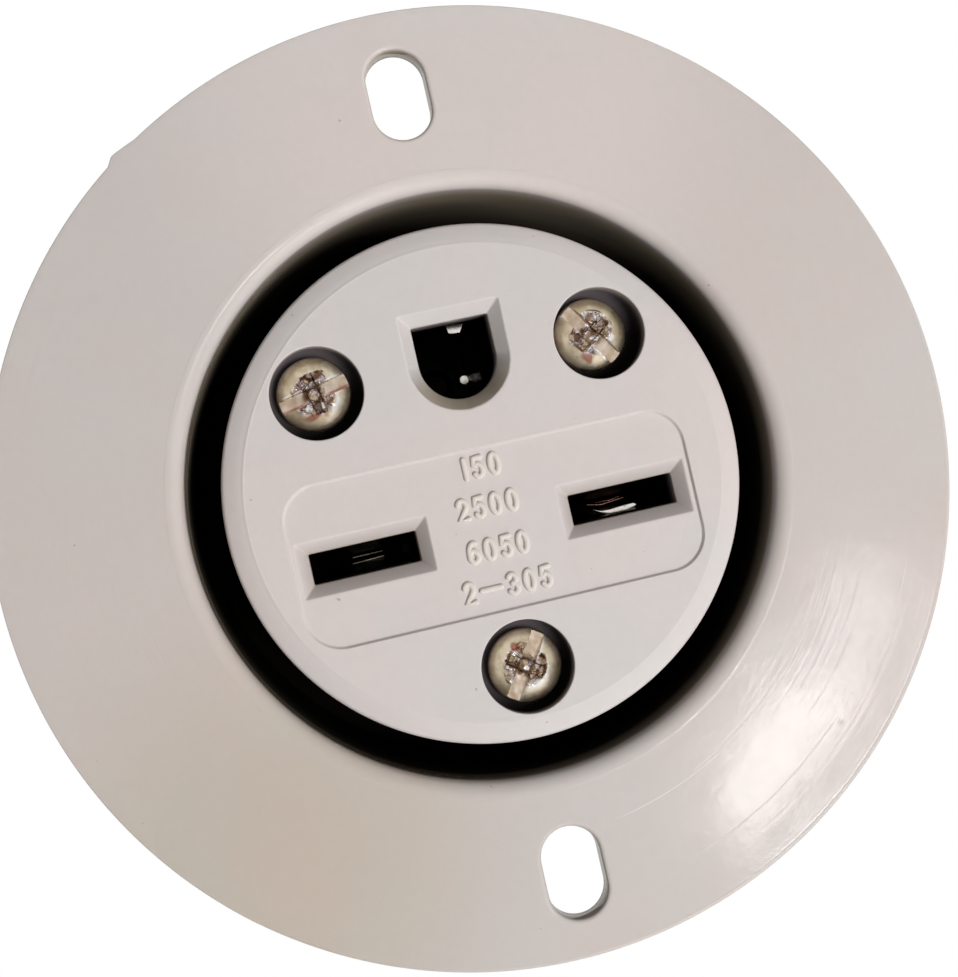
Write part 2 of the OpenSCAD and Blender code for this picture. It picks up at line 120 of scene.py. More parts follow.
floor_mesh = bpy.data.meshes.new("pale_floor")
floor_mesh.from_pydata([(-0.8, -0.8, -0.3), (0.8, -0.8, -0.3), (0.8, 0.5, -0.3), (-0.8, 0.5, -0.3)], [], [(0, 1, 2, 3)])
pale_floor = bpy.data.objects.new("pale_floor", floor_mesh)
bpy.context.scene.collection.objects.link(pale_floor)
floor_paint = bpy.data.materials.new("floor_paint")
floor_paint.use_nodes = True
tree = floor_paint.node_tree
tree.nodes.clear()
rays = put(tree, "ShaderNodeLightPath")
matt = put(tree, "ShaderNodeBsdfDiffuse", {"Color": (0.86, 0.86, 0.86, 1)})
glow = put(tree, "ShaderNodeEmission", {"Color": (1, 1, 1, 1), "Strength": 0.2})
both = put(tree, "ShaderNodeAddShader", {0: matt.outputs[0], 1: glow.outputs[0]})
pick = put(tree, "ShaderNodeMixShader", {0: rays.outputs["Is Camera Ray"], 1: matt.outputs[0], 2: both.outputs[0]})
put(tree, "ShaderNodeOutputMaterial", {"Surface": pick.outputs[0]})
floor_mesh.materials.append(floor_paint)


# ---- Flange housing
# One grey urea moulding: the round flange with its two slots for the panel screws, the deep ring-shaped
# well with a rounded mouth, and the barrel behind. The mould's parting left a thin uneven line of flash
# round the mouth, and the gate a stub on the rim.

front = 1.955
flange_r, barrel_r, skirt_r, tower_hole_r = 33.049, 22.55, 20.75, 15.75
mouth_wall_r, foot_wall_r, mouth_round = 20.35, 20.09, 1.1
well_floor, barrel_step, barrel_end = -14.0, -16.4, -20.4
slot_y, slot_half_w, slot_half_straight = 27.25, 2.05, 1.1
rim_round = 0.34
gate_from, gate_top, gate_to, gate_high = 123.3, 126.2, 127.8, 0.29


def quarter(centre, radius, start, end, steps=6):
    """Profile points on an arc, with start and end in degrees: offsets in column 0, levels in column 1."""
    a = np.radians(np.linspace(start, end, steps + 1))
    return np.column_stack([centre[0] + radius * np.cos(a), centre[1] + radius * np.sin(a)])


def turned(profile, angles, centre=(0.0, 0.0)):
    """Rows of a turned surface: each profile point (radius, level) becomes one ring round the centre."""
    profile = np.asarray(profile, float)
    radius, level = profile[:, :1], profile[:, 1:]
    return np.stack([centre[0] + radius * np.cos(angles), centre[1] + radius * np.sin(angles),
                     level + 0 * angles], axis=2)


def soft_box(x, low, high, half_w, top_r, low_r, steps=7):
    """Outline of a box from y = low to high with rounded corners, anticlockwise from the top right."""
    a = np.linspace(0, 90, steps + 1)
    corners = []
    for turn, sx, cy, r in ((0, 1, high - top_r, top_r), (90, -1, high - top_r, top_r),
                            (180, -1, low + low_r, low_r), (270, 1, low + low_r, low_r)):
        t = np.radians(a + turn)
        corners.append(np.column_stack([x + sx * (half_w - r) + r * np.cos(t), cy + r * np.sin(t)]))
    return np.vstack(corners)


def lofted(outlines, levels):
    """Rows of a wall: outlines with the same number of points, each lifted to its level."""
    return np.stack([np.column_stack([o, np.full(len(o), z)]) for o, z in zip(outlines, levels)])


def with_margin(rows, first=0.05, last=0.0):
    """Adds a level row just beyond the first row, away from the second, and the same at the last row, so that
    the flat sheet next to it keeps a flat sheet's shading."""
    for end, beside, width in ((0, 1, first), (-1, -2, last)):
        if width:
            away = rows[end, :, :2] - rows[beside, :, :2]
            away *= width / np.linalg.norm(away, axis=1)[:, None]
            extra = np.column_stack([rows[end, :, :2] + away, rows[end, :, 2]])[None]
            rows = np.concatenate([extra, rows] if end == 0 else [rows, extra])
    return rows


def encloses(loop, points):
    """True for each point that an odd number of the loop's edges pass to the right of."""
    x, y = points[:, :1], points[:, 1:2]
    x0, y0 = loop[:, 0], loop[:, 1]
    x1, y1 = np.roll(x0, -1), np.roll(y0, -1)
    crosses = (y0 > y) != (y1 > y)
    rise = np.where(y1 == y0, 1.0, y1 - y0)
    return (crosses & (x < x0 + (y - y0) * (x1 - x0) / rise)).sum(1) % 2 == 1


def flat_sheet(outer, holes):
    """Triangles that fill one closed row of points, leaving out the closed rows of the holes."""
    loops = [outer] + list(holes)
    points = np.vstack(loops)
    starts = np.cumsum([0] + [len(loop) for loop in loops[:-1]])
    edges = [(s + i, s + (i + 1) % len(loop)) for s, loop in zip(starts, loops) for i in range(len(loop))]
    where, _, faces, _, _, _ = delaunay_2d_cdt([Vector(p) for p in points[:, :2].tolist()], edges, [], 1, 1e-7)
    where, faces = np.array(where), np.array(faces)
    middle = where[faces].mean(1)
    keep = ~np.any([encloses(hole, middle) for hole in holes], axis=0)
    return np.column_stack([where, np.full(len(where), points[0, 2])]), faces[keep].tolist()


def moulding(name, walls, sheets, marks=None):
    """Joins closed walls and flat sheets into one skin. Bench millimetres become metres in the row frame.

    marks gives named numbers per point from an (n, 3) array of places, for the material to read."""
    places, faces, start = [], [], 0
    for rows in walls:
        m, n = rows.shape[:2]
        i, j = np.meshgrid(np.arange(m - 1), np.arange(n), indexing="ij")
        k = (j + 1) % n
        quads = np.stack([i * n + j, i * n + k, (i + 1) * n + k, (i + 1) * n + j], axis=-1).reshape(-1, 4)
        faces += (quads + start).tolist()
        places.append(rows.reshape(-1, 3))
        start += m * n
    for points, triangles in sheets:
        faces += [[start + v for v in t] for t in triangles]
        places.append(points)
        start += len(points)
    p = np.vstack(places)
    mesh = bpy.data.meshes.new(name)
    mesh.from_pydata((p[:, [0, 2, 1]] * [0.001, -0.001, 0.001]).tolist(), [], faces)
    skin = bmesh.new()
    skin.from_mesh(mesh)
    bmesh.ops.remove_doubles(skin, verts=skin.verts, dist=4e-7)
    bmesh.ops.recalc_face_normals(skin, faces=skin.faces)
    skin.to_mesh(mesh)
    skin.free()
    mesh.polygons.foreach_set("use_smooth", np.ones(len(mesh.polygons), bool))
    mesh.set_sharp_from_angle(angle=np.radians(75))
    flat = np.empty(len(mesh.vertices) * 3)
    mesh.vertices.foreach_get("co", flat)
    q = flat.reshape(-1, 3)[:, [0, 2, 1]] * [1000, 1000, -1000]
    for key, value in (marks or {}).items():
        mesh.attributes.new(key, "FLOAT", "POINT").data.foreach_set("value", value(q).astype(np.float32))
    piece = bpy.data.objects.new(name, mesh)
    bpy.context.scene.collection.objects.link(piece)
    even = piece.modifiers.new("even_flats", "WEIGHTED_NORMAL")
    even.mode = "FACE_AREA"
    even.weight = 90
    even.keep_sharp = True
    return piece


def sway(angles, seed, waves=9, finest=60):
    """A smooth uneven number round a ring, about -1 to 1: a sum of waves with seeded strengths."""
    dice = np.random.default_rng(seed)
    k = dice.integers(1, finest, waves)[:, None]
    s = dice.uniform(0.4, 1, waves)[:, None]
    return (s * np.sin(k * angles + dice.uniform(0, 6.28, waves)[:, None])).sum(0) / s.sum() * 1.8


angles = np.linspace(0, 2 * np.pi, 600, endpoint=False)
near_gate = np.radians(np.linspace(gate_from - 0.6, gate_to + 0.6, 31))
angles = np.unique(np.concatenate([angles, near_gate]))

flash = front + 0.011 + 0.007 * sway(angles, 4)
for bearing in (-54.7, -71.5, -76.0, 134.0):
    flash += 0.018 * np.exp(-(np.angle(np.exp(1j * (angles - np.radians(bearing)))) * 21.5 / 0.25) ** 2)
inner = turned(np.vstack([[[22.2, front], [21.68, front], [21.60, front], [21.54, front], [21.47, front]],
                          quarter((mouth_wall_r + mouth_round, front - mouth_round), mouth_round, 90, 180, 9),
                          [[20.31, -2.0], [20.24, -6.0], [foot_wall_r, well_floor + 0.5]],
                          quarter((foot_wall_r - 0.5, well_floor + 0.5), 0.5, 0, -90, 4),
                          [[tower_hole_r, well_floor], [tower_hole_r, barrel_step], [skirt_r, barrel_step],
                           [skirt_r, barrel_end + 0.2], [skirt_r + 0.2, barrel_end], [barrel_r - 0.25, barrel_end]],
                          quarter((barrel_r - 0.25, barrel_end + 0.25), 0.25, -90, 0, 3),
                          [[barrel_r, -10.0], [barrel_r, -0.4]],
                          quarter((barrel_r + 0.4, -0.4), 0.4, 180, 90, 4), [[barrel_r + 0.45, 0.0]]]), angles)
inner[3, :, 2] = flash
inner[3, :, :2] *= (1 + 0.0012 * sway(angles, 5))[:, None]
rim = turned(np.vstack([[[flange_r - 1.6, front], [flange_r - 0.50, front], [flange_r - 0.42, front + 0.001]],
                        quarter((flange_r - rim_round, front + 0.005 - rim_round), rim_round, 90, 0, 8),
                        [[flange_r, 1.3]], quarter((flange_r - 0.25, 0.25), 0.25, 0, -90, 3),
                        [[flange_r - 0.30, 0.0]]]), angles)
bearing = np.degrees(angles)
gate = gate_high * np.clip((bearing - gate_from) / (gate_top - gate_from), 0, 1) * np.clip((gate_to - bearing) / 1.1, 0, 1)
rounder = 0.25 + 0.75 * np.clip(np.cos(angles + np.radians(40)), 0, 1) ** 0.5
rim[3:12] = [flange_r, flange_r, front] * np.stack([np.cos(angles), np.sin(angles), angles * 0 + 1], -1) * (
    1 - rounder[:, None]) + rim[3:12] * rounder[:, None]
outside = np.hypot(rim[:, :, 0], rim[:, :, 1]) > flange_r - 0.38
rim[:, :, :2] *= 1 + (gate * outside * np.clip(rim[:, :, 2] / 0.3, 0, 1))[:, :, None] / flange_r

slot_walls = []
for side in (1, -1):
    a = np.radians(np.linspace(0, 180, 25))
    end = np.column_stack([np.cos(a), np.sin(a)])
    obround = np.vstack([end * slot_half_w + [0, slot_half_straight], -end * slot_half_w - [0, slot_half_straight]])
    out = np.vstack([end, -end])
    edge = np.vstack([quarter((0.28, front - 0.28), 0.28, 90, 180, 4), quarter((0.12, 0.12), 0.12, 180, 270, 2)])
    slot_walls.append(with_margin(lofted([obround + out * e + [0, side * slot_y] for e in edge[:, 0]], edge[:, 1]), 0.05, 0.05))

housing_front = flat_sheet(rim[0], [inner[0]] + [w[0] for w in slot_walls])
housing_back = flat_sheet(rim[-1], [inner[-1]] + [w[-1] for w in slot_walls])


def well_painted_shade(q):
    """Painted shade: 1 deep in the well, whose walls are painted nearly black for the shade there, and 0 on the front
    and outside. It sets in later on the upper wall, which the low light reaches, and a weaker painted shade darkens
    the walls of the panel slots."""
    r = np.hypot(q[:, 0], q[:, 1])
    above = np.clip(np.cos(np.arctan2(q[:, 1], q[:, 0]) - np.radians(88)), 0, 1) ** 2
    in_slot = (np.abs(q[:, 0]) < 2.1) & (np.abs(np.abs(q[:, 1]) - slot_y) < 3.2) & (q[:, 2] > 0.01)
    return np.clip((1.1 - q[:, 2]) / (3.4 + 10.5 * above), 0, 1) * (r < 21.5) + 0.28 * np.clip((1.9 - q[:, 2]) / 0.6, 0, 1) * in_slot


housing_moulding = moulding("housing_moulding", [inner, rim] + slot_walls, [housing_front, housing_back],
                            {"painted_shade": well_painted_shade})


def mix(tree, factor, a, b, blend="MIX"):
    """Mixes two colours."""
    return put(tree, "ShaderNodeMix", {0: factor, 6: a, 7: b}, data_type="RGBA", blend_type=blend).outputs[2]


def sums(tree, operation, *values, clamp=False):
    """One arithmetic step on numbers."""
    return put(tree, "ShaderNodeMath", dict(enumerate(values)), operation=operation, use_clamp=clamp).outputs[0]


def mottle(tree, scale, detail=2.0, stretch=(1, 1, 1), turn=0.0, seed=0.0):
    """Noise on the object's own coordinates, so many cells to the metre."""
    where = put(tree, "ShaderNodeTexCoord").outputs["Object"]
    moved = put(tree, "ShaderNodeMapping", {"Vector": where, "Location": (seed, seed * 0.7, seed * 1.3),
                                            "Rotation": (0, turn, 0), "Scale": stretch})
    return put(tree, "ShaderNodeTexNoise", {"Vector": moved.outputs[0], "Scale": scale, "Detail": detail}).outputs[0]


def band(tree, value, low, high):
    """0 below low, 1 above high, smooth between."""
    return put(tree, "ShaderNodeMapRange", {0: value, 1: low, 2: high}, interpolation_type="SMOOTHSTEP").outputs[0]


def moulded_plastic(name, cool, warm, roughness, scores=(), stains_and_painted_light=(), shade=(0.50, 0.43, 0.33, 1)):
    """Grey plastic: a cloudy mix of two tints, fine grain, turning marks round the axis, and faint scratches.
    Each score is one longer scratch round the axis: its radius in metres and its first and last bearing. Each
    entry of stains_and_painted_light is a place in metres, its reach and a tint multiplied in there: some are
    real marks, others painted light and shade. The mesh's painted_shade number paints shade: brownish, then the
    shade tint, then near black, with less reflection. shade is the tint of that painted shade on the half-dark walls."""
    material = bpy.data.materials.new(name)
    material.use_nodes = True
    tree = material.node_tree
    shader = tree.nodes["Principled BSDF"]
    clouds = mottle(tree, 70, 3.0, seed=0.3)
    grain = mottle(tree, 1500, 2.0, seed=0.1)
    colour = mix(tree, band(tree, clouds, 0.38, 0.62), cool, warm)
    colour = mix(tree, sums(tree, "MULTIPLY", grain, 0.10), colour, (0.30, 0.28, 0.27, 1))
    where = put(tree, "ShaderNodeTexCoord").outputs["Object"]
    split = put(tree, "ShaderNodeSeparateXYZ", {0: where})
    # Each entry multiplies its tint in round a place: some are real marks, others painted light and shade.
    for x, z, inner_reach, outer_reach, tint in stains_and_painted_light:
        off = put(tree, "ShaderNodeCombineXYZ", {0: sums(tree, "SUBTRACT", split.outputs[0], x),
                                                 2: sums(tree, "SUBTRACT", split.outputs[2], z)}).outputs[0]
        off = put(tree, "ShaderNodeVectorMath", {0: off}, operation="LENGTH").outputs["Value"]
        off = sums(tree, "MULTIPLY_ADD", clouds, 0.004, sums(tree, "SUBTRACT", off, 0.002))
        colour = mix(tree, band(tree, off, outer_reach, inner_reach), colour, tint, "MULTIPLY")
    specks = band(tree, mottle(tree, 1500, 1.0, seed=0.9), 0.80, 0.83)
    colour = mix(tree, sums(tree, "MULTIPLY", specks, 0.5), colour, (0.26, 0.15, 0.09, 1))
    # Painted shade: as painted_shade rises the colour goes brownish, then to the shade tint, then near black, for the
    # shade in the well, the slots, the openings and the counterbores.
    painted_shade = put(tree, "ShaderNodeAttribute", attribute_name="painted_shade").outputs["Fac"]
    colour = mix(tree, band(tree, painted_shade, 0.0, 0.15), colour, (0.50, 0.43, 0.33, 1))
    colour = mix(tree, band(tree, painted_shade, 0.15, 0.35), colour, shade)
    colour = mix(tree, sums(tree, "POWER", painted_shade, 0.55), colour, (0.006, 0.005, 0.004, 1))
    reach = sums(tree, "SQRT", sums(tree, "ADD", sums(tree, "POWER", split.outputs[0], 2.0),
                                    sums(tree, "POWER", split.outputs[2], 2.0)))
    rings = put(tree, "ShaderNodeTexNoise", {"W": reach, "Scale": 2600, "Detail": 2.0}, noise_dimensions="1D").outputs[0]
    patches = band(tree, mottle(tree, 110, 2.0, seed=0.5), 0.45, 0.65)
    rings = sums(tree, "MULTIPLY", rings, sums(tree, "MULTIPLY_ADD", patches, 0.7, 0.3))
    bearing = sums(tree, "ARCTAN2", split.outputs[2], split.outputs[0])
    polar = put(tree, "ShaderNodeCombineXYZ", {0: sums(tree, "MULTIPLY", reach, 7000.0),
                                               1: sums(tree, "MULTIPLY", bearing, 1.3)}).outputs[0]
    arcs = put(tree, "ShaderNodeTexNoise", {"Vector": polar, "Scale": 1.0, "Detail": 1.0}).outputs[0]
    scratches = sums(tree, "MULTIPLY", band(tree, arcs, 0.64, 0.70), patches)
    rough = sums(tree, "MULTIPLY_ADD", clouds, 0.06, roughness - 0.05)
    rough = sums(tree, "MULTIPLY_ADD", grain, 0.04, rough)
    rough = sums(tree, "MULTIPLY_ADD", scratches, 0.10, rough, clamp=True)
    tree.links.new(rough, shader.inputs["Roughness"])
    shader.inputs["IOR"].default_value = 1.52
    height = sums(tree, "MULTIPLY_ADD", clouds, 9.0, sums(tree, "MULTIPLY_ADD", rings, 0.35, sums(tree, "MULTIPLY", grain, 0.4)))
    height = sums(tree, "MULTIPLY_ADD", scratches, -0.4, height)
    for radius, first, last in scores:
        off = sums(tree, "ABSOLUTE", sums(tree, "SUBTRACT", reach, radius))
        line = sums(tree, "MULTIPLY_ADD", off, -1 / 0.00005, 1.0, clamp=True)
        span = sums(tree, "SUBTRACT", band(tree, bearing, first, first + 0.1), band(tree, bearing, last - 0.1, last))
        line = sums(tree, "MULTIPLY", line, sums(tree, "MULTIPLY", span, band(tree, split.outputs[1], -0.0008, -0.0014)))
        colour = mix(tree, sums(tree, "MULTIPLY", line, 0.55), colour, (0.88, 0.86, 0.84, 1))
        height = sums(tree, "MULTIPLY_ADD", line, 0.25, height)
    # The painted shade also turns the reflection down where it darkens the colour.
    shine = sums(tree, "MULTIPLY_ADD", band(tree, painted_shade, 0.05, 0.55), -0.5, 0.5)
    tree.links.new(shine, shader.inputs["Specular IOR Level"])
    tree.links.new(colour, shader.inputs["Base Color"])
    bump = put(tree, "ShaderNodeBump", {"Strength": 0.35, "Distance": 0.00003, "Height": height})
    tree.links.new(bump.outputs[0], shader.inputs["Normal"])
    return material


# The flange's tint patches: darker and yellower towards the lower left; lighter towards the top, which is painted
# light; and a small dark nick at the lower right.
flange_plastic = moulded_plastic("flange_plastic", (0.560, 0.530, 0.515, 1), (0.575, 0.520, 0.495, 1), 0.12,
                                 ((0.02442, -1.20, -0.38), (0.02580, -0.46, -0.34), (0.03022, -0.56, -0.38),
                                  (0.03180, -0.55, -0.43), (0.02467, -1.45, -1.05), (0.02940, -1.30, -0.80)),
                                 ((-0.020, -0.022, 0.004, 0.022, (0.90, 0.87, 0.79, 1)),
                                  (0.004, 0.029, 0.010, 0.026, (1.12, 1.12, 1.13, 1)),
                                  (0.02053, -0.02178, 0.0001, 0.0007, (0.55, 0.52, 0.54, 1))))
housing_moulding.data.materials.append(flange_plastic)
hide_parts("flange_housing")
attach(housing_moulding, "root")


# ---- Face insert
# A second grey moulding that fills the middle of the well: a round face with a soft edge, a shallow sunk
# field, two bevelled blade openings, the D-shaped ground opening and three counterbores for the screws.
# It is clamped on the well's floor by the long screws.

face_flat_r, face_r, edge_round = 16.38, 17.9, 0.42
foot_r, spigot_r = 18.065, 15.6
field = dict(x=0.0, low=-8.925, high=2.325, half_w=14.075)
field_floor = 1.72
blade_half_w, blade_half_h, blade_bevel = 3.715, 1.05, 0.82
blade_x, blade_y, ground_y = 9.13, -3.3, 8.6
bevel_low, wall_back, insert_back = 0.75, -1.2, -16.4
screw_places = {"left": (-9.949, 8.289), "right": (9.949, 8.289), "bottom": (0.0, -12.95)}

around = np.linspace(0, 2 * np.pi, 480, endpoint=False)
crease = 0.003 + 0.023 * np.clip(np.cos(around - np.radians(150)), 0, 1) ** 1.5 + 0.003 * sway(around, 12)
slide = np.linspace(0.12, 1, 9)
edge_in = edge_round * (1 - np.sin(np.radians(26)))
shoulder = np.column_stack([face_flat_r + (face_r - edge_in - face_flat_r) * slide, front - 0.01 - 0.42 * slide ** 1.4])
edge_centre = (face_r - edge_round, shoulder[-1, 1] - edge_round * np.cos(np.radians(26)))
side_rows = turned(np.vstack([[[16.28, front], [face_flat_r - 0.04, front], [face_flat_r + 0.03, front],
                               [face_flat_r + 0.1, front - 0.01]], shoulder,
                              quarter(edge_centre, edge_round, 56, 0, 5),
                              [[face_r + 0.02, -1.5], [face_r + 0.08, -7.0], [foot_r, well_floor],
                               [spigot_r, well_floor], [spigot_r, insert_back]]]), around)
side_rows[2, :, 2] += crease


def field_outline(grow):
    """The sunk field's outline, moved outwards by grow."""
    return soft_box(0.0, field["low"] - grow, field["high"] + grow, field["half_w"] + grow, 2.6 + grow, 2.6 + grow, 12)


uneven = 0.008 * sway(np.linspace(0, 6.28, 52), 21, 6, 20)
field_rows = lofted([field_outline(0.14), field_outline(0.07), field_outline(0.02), field_outline(-0.06),
                     field_outline(-0.11)], [front, front, front - 0.03, field_floor + 0.03, field_floor])
field_rows[1, :, 2] += 0.014 + uneven
field_rows = with_margin(field_rows, 0.05, 0.05)


def blade_outline(side, grow, corner):
    """A blade opening's outline, moved outwards by grow."""
    return soft_box(side * blade_x, blade_y - blade_half_h - grow, blade_y + blade_half_h + grow,
                    blade_half_w + grow, corner, corner)


blade_rows = []
for side in (-1, 1):
    chamber = soft_box(side * blade_x, blade_y - 2.95, blade_y + 2.95, 4.0, 0.1, 0.1)
    blade_rows.append(with_margin(lofted(
        [blade_outline(side, blade_bevel + 0.09, 0.22), blade_outline(side, blade_bevel + 0.03, 0.16),
         blade_outline(side, blade_bevel - 0.03, 0.12), blade_outline(side, 0.06, 0.10),
         blade_outline(side, 0.0, 0.10), blade_outline(side, 0.0, 0.10), chamber, chamber],
        [field_floor, field_floor - 0.02, field_floor - 0.08, bevel_low + 0.06, bevel_low - 0.05, wall_back,
         wall_back, insert_back])))


def ground_outline(grow, top_corner):
    """The ground opening's outline: a flat top with two corners, and a round end below."""
    return soft_box(0.0, ground_y - 2.715 - grow, ground_y + 2.74 + grow, 2.715 + grow, top_corner,
                    2.71 + grow, 14)


chipped = 0.025 * sway(np.linspace(0, 6.28, 60), 9, 8, 24)[:, None]
ground_chamber = soft_box(0.0, ground_y - 3.7, ground_y + 3.7, 3.9, 0.1, 0.1, 14)
ground_rows = with_margin(lofted([ground_outline(0.92, 0.22), ground_outline(0.86, 0.16), ground_outline(0.79, 0.12),
                      ground_outline(0.06, 0.1), ground_outline(0.0, 0.1), ground_outline(0.0, 0.1), ground_chamber,
                      ground_chamber],
                     [front, front - 0.02, front - 0.09, 1.06, 0.95, wall_back, wall_back, insert_back]))

rim_away = ground_rows[1, :, :2] - ground_rows[2, :, :2]
ground_rows[:3, :, :2] += chipped * rim_away / np.linalg.norm(rim_away, axis=1)[:, None]

bore_rows = []
for place in screw_places.values():
    turn = np.linspace(0, 2 * np.pi, 96, endpoint=False)
    bore_rows.append(turned(np.vstack([[[3.31, front]], quarter((3.2 + 0.09, front - 0.09), 0.09, 90, 180, 4),
                                       [[3.2, 0.25], [3.05, 0.1], [1.6, 0.1], [1.6, insert_back]]]), turn, place))

face_front = flat_sheet(side_rows[0], [field_rows[0], ground_rows[0]] + [b[0] for b in bore_rows])
face_field = flat_sheet(field_rows[-1], [b[0] for b in blade_rows])
face_back = flat_sheet(side_rows[-1], [ground_rows[-1]] + [b[-1] for b in blade_rows + bore_rows])


def opening_painted_shade(q):
    """Painted shade on the face: darkness painted on the tower's side in the well, setting in later towards the lower
    left; a quicker one behind the bevels of the openings and a light one on the lower part of the ground opening;
    and in the counterbores, setting in later on their upper left walls, which face the low light.
    """
    r = np.hypot(q[:, 0], q[:, 1])
    low_left = np.clip(np.cos(np.arctan2(q[:, 1], q[:, 0]) - np.radians(232)), 0, 1) ** 4
    side = np.clip((1.0 - q[:, 2]) / (1.2 + 3.0 * low_left), 0, 1) * (r > 17.0)
    hole = np.clip((0.85 - q[:, 2]) / 0.9, 0, 1) * (r <= 17.0)
    lower_end = (np.abs(q[:, 0]) < 3.7) & (q[:, 1] > 4.7) & (q[:, 2] < 1.9)
    hole = np.maximum(hole, 0.11 * np.clip((ground_y - q[:, 1]) / 2.0, 0, 1) * lower_end * (r <= 17.0))
    off = np.stack([q[:, :2] - place for place in screw_places.values()])
    near = np.hypot(off[:, :, 0], off[:, :, 1])
    off = np.take_along_axis(off, near.argmin(0)[None, :, None], 0)[0]
    away = np.cos(np.arctan2(off[:, 1], off[:, 0]) - np.radians(115))
    bore = np.clip((1.85 - q[:, 2]) / (2.1 + 0.5 * away), 0, 0.96)
    return np.where((near.min(0) < 3.25) & (r <= 17.0), bore, np.maximum(side, hole))


face_moulding = moulding("face_moulding", [side_rows, field_rows, ground_rows] + blade_rows + bore_rows,
                         [face_front, face_field, face_back], {"painted_shade": opening_painted_shade})
# Its shade tint is the purple-grey of the painted shade in the counterbores and openings.
face_plastic = moulded_plastic("face_plastic", (0.612, 0.590, 0.584, 1), (0.638, 0.585, 0.574, 1), 0.42,
                               shade=(0.40, 0.35, 0.38, 1))
face_moulding.data.materials.append(face_plastic)
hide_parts("face_insert")
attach(face_moulding, "root")


# ---- Raised numbers
# Plain numbers stand where a maker would put its ratings, as low round-topped ridges that the mould left
# on the sunk field between the blade openings. They are moulded in the face's plastic, here painted a little
# lighter than the face as a painted highlight for the sheen on their round tops.

number_high, stroke_half, ridge_high = 1.31, 0.21, 0.21
number_lines = (("150", 1.06, -0.10), ("2500", -1.64, -0.28), ("6050", -4.62, -0.20), ("2-305", -7.26, -0.10))


def bow(cx, cy, rx, ry, start, end, steps=14):
    """Points on part of an ellipse, angles in degrees."""
    a = np.radians(np.linspace(start, end, steps + 1))
    return np.column_stack([cx + rx * np.cos(a), cy + ry * np.sin(a)])


digit_strokes = {
    "0": [bow(0, 0.5, 0.27, 0.5, 90, 446, 30)],
    "1": [np.array([[0, 0.0], [0, 0.5], [0, 1.0]])],
    "2": [np.vstack([bow(0, 0.72, 0.27, 0.28, 165, -35), [[-0.27, 0.0], [0.28, 0.0]]])],
    "3": [bow(-0.02, 0.76, 0.25, 0.24, 150, -85), bow(-0.02, 0.27, 0.28, 0.27, 88, -150)],
    "5": [np.vstack([[[0.25, 1.0], [-0.2, 1.0], [-0.24, 0.56]], bow(-0.01, 0.32, 0.27, 0.32, 125, -145)])],
    "6": [bow(0, 0.3, 0.27, 0.3, 100, 456, 26), np.vstack([[[-0.26, 0.36]], bow(0.08, 0.42, 0.35, 0.58, 160, 72, 8)])],
    "-": [np.array([[-0.62, 0.5], [0.0, 0.5], [0.62, 0.5]])],
}


def ridge(path, half_width, high, level):
    """A round-topped ridge: a half ellipse carried along the path, drawn in to a round end at each end."""
    d = np.gradient(path, axis=0)
    d /= np.linalg.norm(d, axis=1)[:, None]
    t = np.radians([90, 65, 40, 15])
    ends = np.sin(t)[:, None] * half_width
    path = np.vstack([path[0] - d[0] * ends, path, path[-1] + d[-1] * ends[::-1]])
    scale = np.concatenate([np.cos(t), np.ones(len(d)), np.cos(t)[::-1]])
    d = np.vstack([np.repeat(d[:1], 4, 0), d, np.repeat(d[-1:], 4, 0)])
    across = np.column_stack([-d[:, 1], d[:, 0]])
    a = np.linspace(0, np.pi, 9)
    flat = path[:, None, :] + across[:, None, :] * (np.cos(a)[None, :, None] * half_width * scale[:, None, None])
    up_by = level - 0.02 + (high + 0.02) * np.sin(a)[None, :] ** 0.8 * scale[:, None] ** 0.5
    return np.dstack([flat, up_by])


ridge_places, ridge_faces, start = [], [], 0
for text, y, x in number_lines:
    widths = [0.65 if c == "1" else 1.9 if c == "-" else 1.15 for c in text]
    at = np.cumsum([0] + widths) - sum(widths) / 2
    for c, left, w in zip(text, at, widths):
        for stroke in digit_strokes[c]:
            path = (stroke - [0, 0.5]) * [number_high * 0.82, number_high] + [x + left + w / 2, y]
            rows = ridge(path, stroke_half, ridge_high, field_floor)
            m, n = rows.shape[:2]
            i, j = np.meshgrid(np.arange(m - 1), np.arange(n - 1), indexing="ij")
            quads = np.stack([i * n + j, i * n + j + 1, (i + 1) * n + j + 1, (i + 1) * n + j], axis=-1).reshape(-1, 4)
            ridge_faces.append(quads + start)
            ridge_places.append(rows.reshape(-1, 3))
            start += m * n
p = np.vstack(ridge_places)
number_mesh = bpy.data.meshes.new("raised_numbers")
number_mesh.from_pydata((p[:, [0, 2, 1]] * [0.001, -0.001, 0.001]).tolist(), [], np.vstack(ridge_faces).tolist())
number_mesh.polygons.foreach_set("use_smooth", np.ones(len(number_mesh.polygons), bool))
raised_numbers = bpy.data.objects.new("raised_numbers", number_mesh)
bpy.context.scene.collection.objects.link(raised_numbers)
number_mesh.materials.append(moulded_plastic("number_plastic", (0.68, 0.65, 0.61, 1), (0.71, 0.66, 0.61, 1), 0.34))
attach(raised_numbers, "root")


# ---- Assembly screws
# Three long steel screws, plated yellowish, hold the stack together. Each cold-headed dome has a slot right
# across and a short cross in the middle, both chewed by the driver, and traces of red sealing paint. A white
# crescent on each dome and a broken white line along one edge of the slot are a painted highlight, and the
# tones of the chipped middle are partly painted reflection.

head_seat, head_r, head_high, shank_end = 0.1, 2.55, 1.35, -35.9
slot_turns = {"left": 12.5, "right": -55.0, "bottom": 56.5}
head_shifts = {"left": (-0.16, 0.05), "right": (-0.44, 0.10), "bottom": (-0.05, 0.0)}
paint_spots = {"left": (-0.55, -1.55), "right": (-0.55, -1.55), "bottom": (-0.45, 1.35)}


